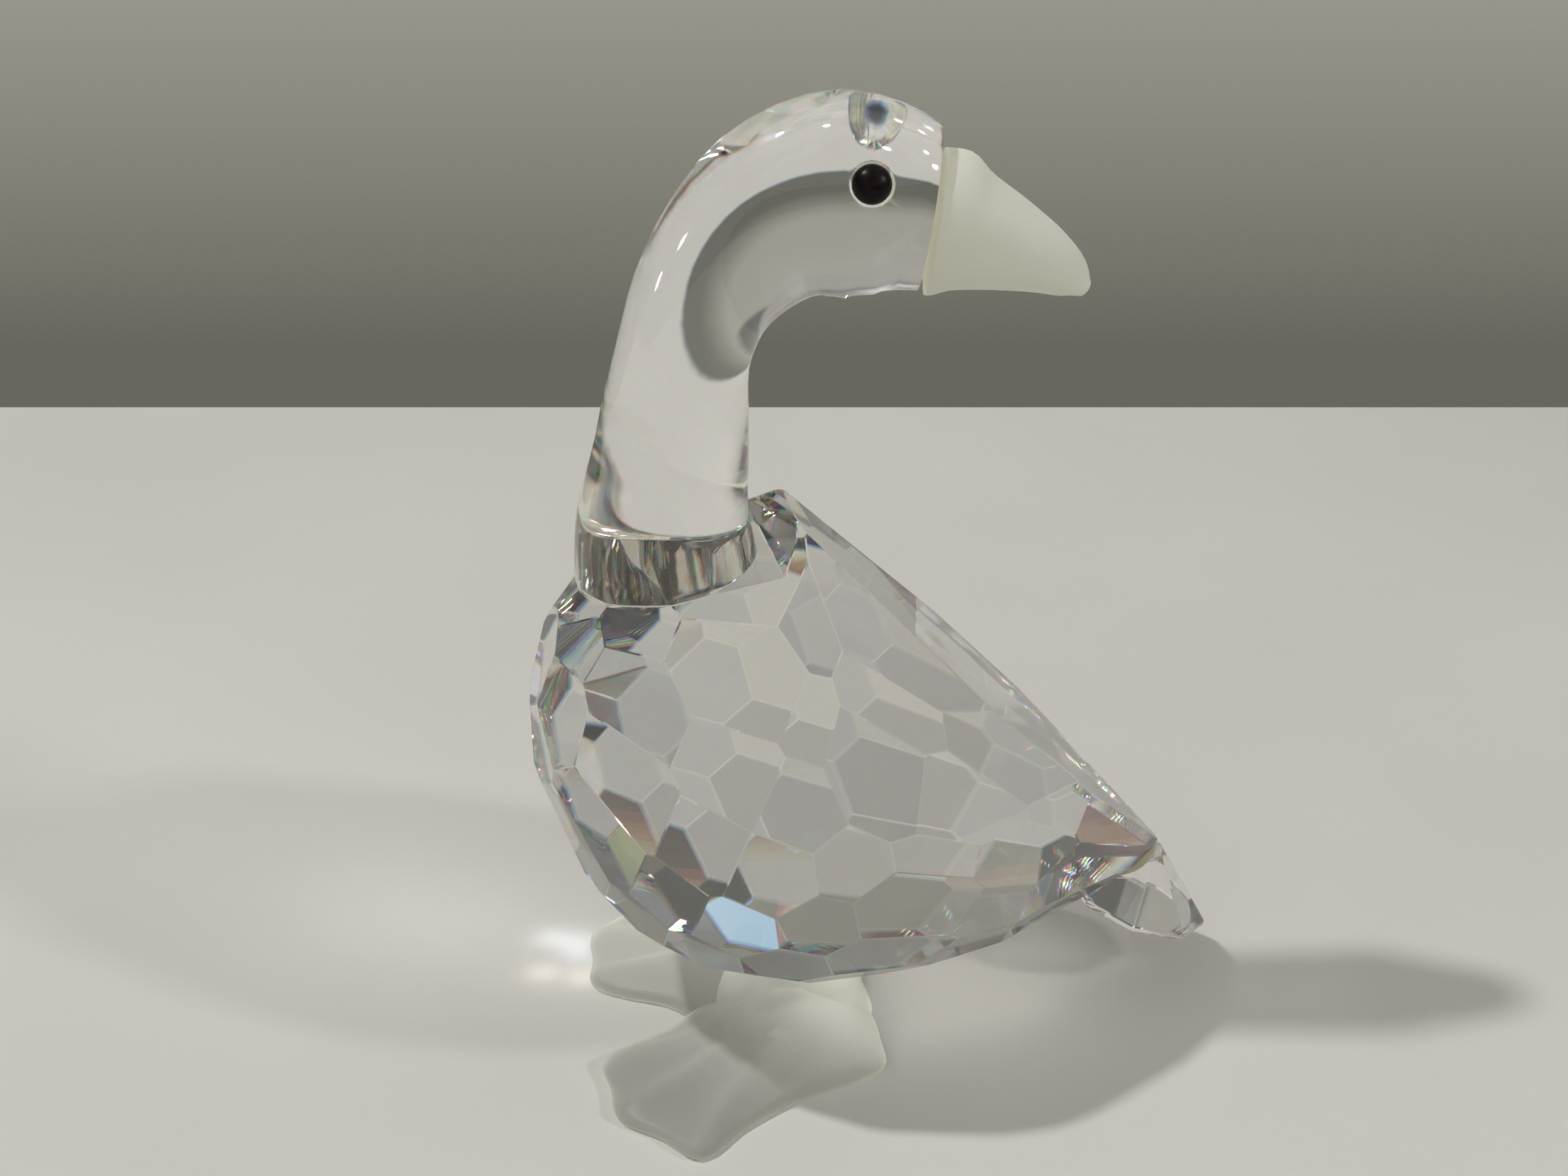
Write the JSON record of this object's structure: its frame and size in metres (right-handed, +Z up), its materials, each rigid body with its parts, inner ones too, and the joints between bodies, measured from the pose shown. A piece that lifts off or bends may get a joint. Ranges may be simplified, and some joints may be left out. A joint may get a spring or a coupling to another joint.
{
  "type": "crystal glass figurine",
  "caption": "Cut-crystal goose figurine with a faceted body, smooth glass neck and head looking back, frosted beak and webbed feet, and a pointed crystal tail.",
  "frame": {"origin": "middle of the underside of the whole figurine's box, on the surface that the feet stand on", "axes": "+Z up; the body faces -X, so the tail points to +X; the goose's left side is -Y; the head looks back over the body"},
  "size_m": [0.0382, 0.0262, 0.0536],
  "materials": {
    "crystal": "polished, clear, full-lead crystal brilliance",
    "frosted_crystal": "frosted, satin, translucent",
    "jet": "gloss",
    "adhesive": "clear, faintly yellow"
  },
  "bodies": {
    "root": {"body": "crystal", "neck_head": "crystal", "beak": "frosted_crystal", "eye_left": "jet", "eye_right": "jet", "tail": "crystal", "feet": "frosted_crystal", "neck_bond": "adhesive", "beak_bond": "adhesive", "tail_bond": "adhesive", "feet_bond": "adhesive"}
  },
  "joints": []
}
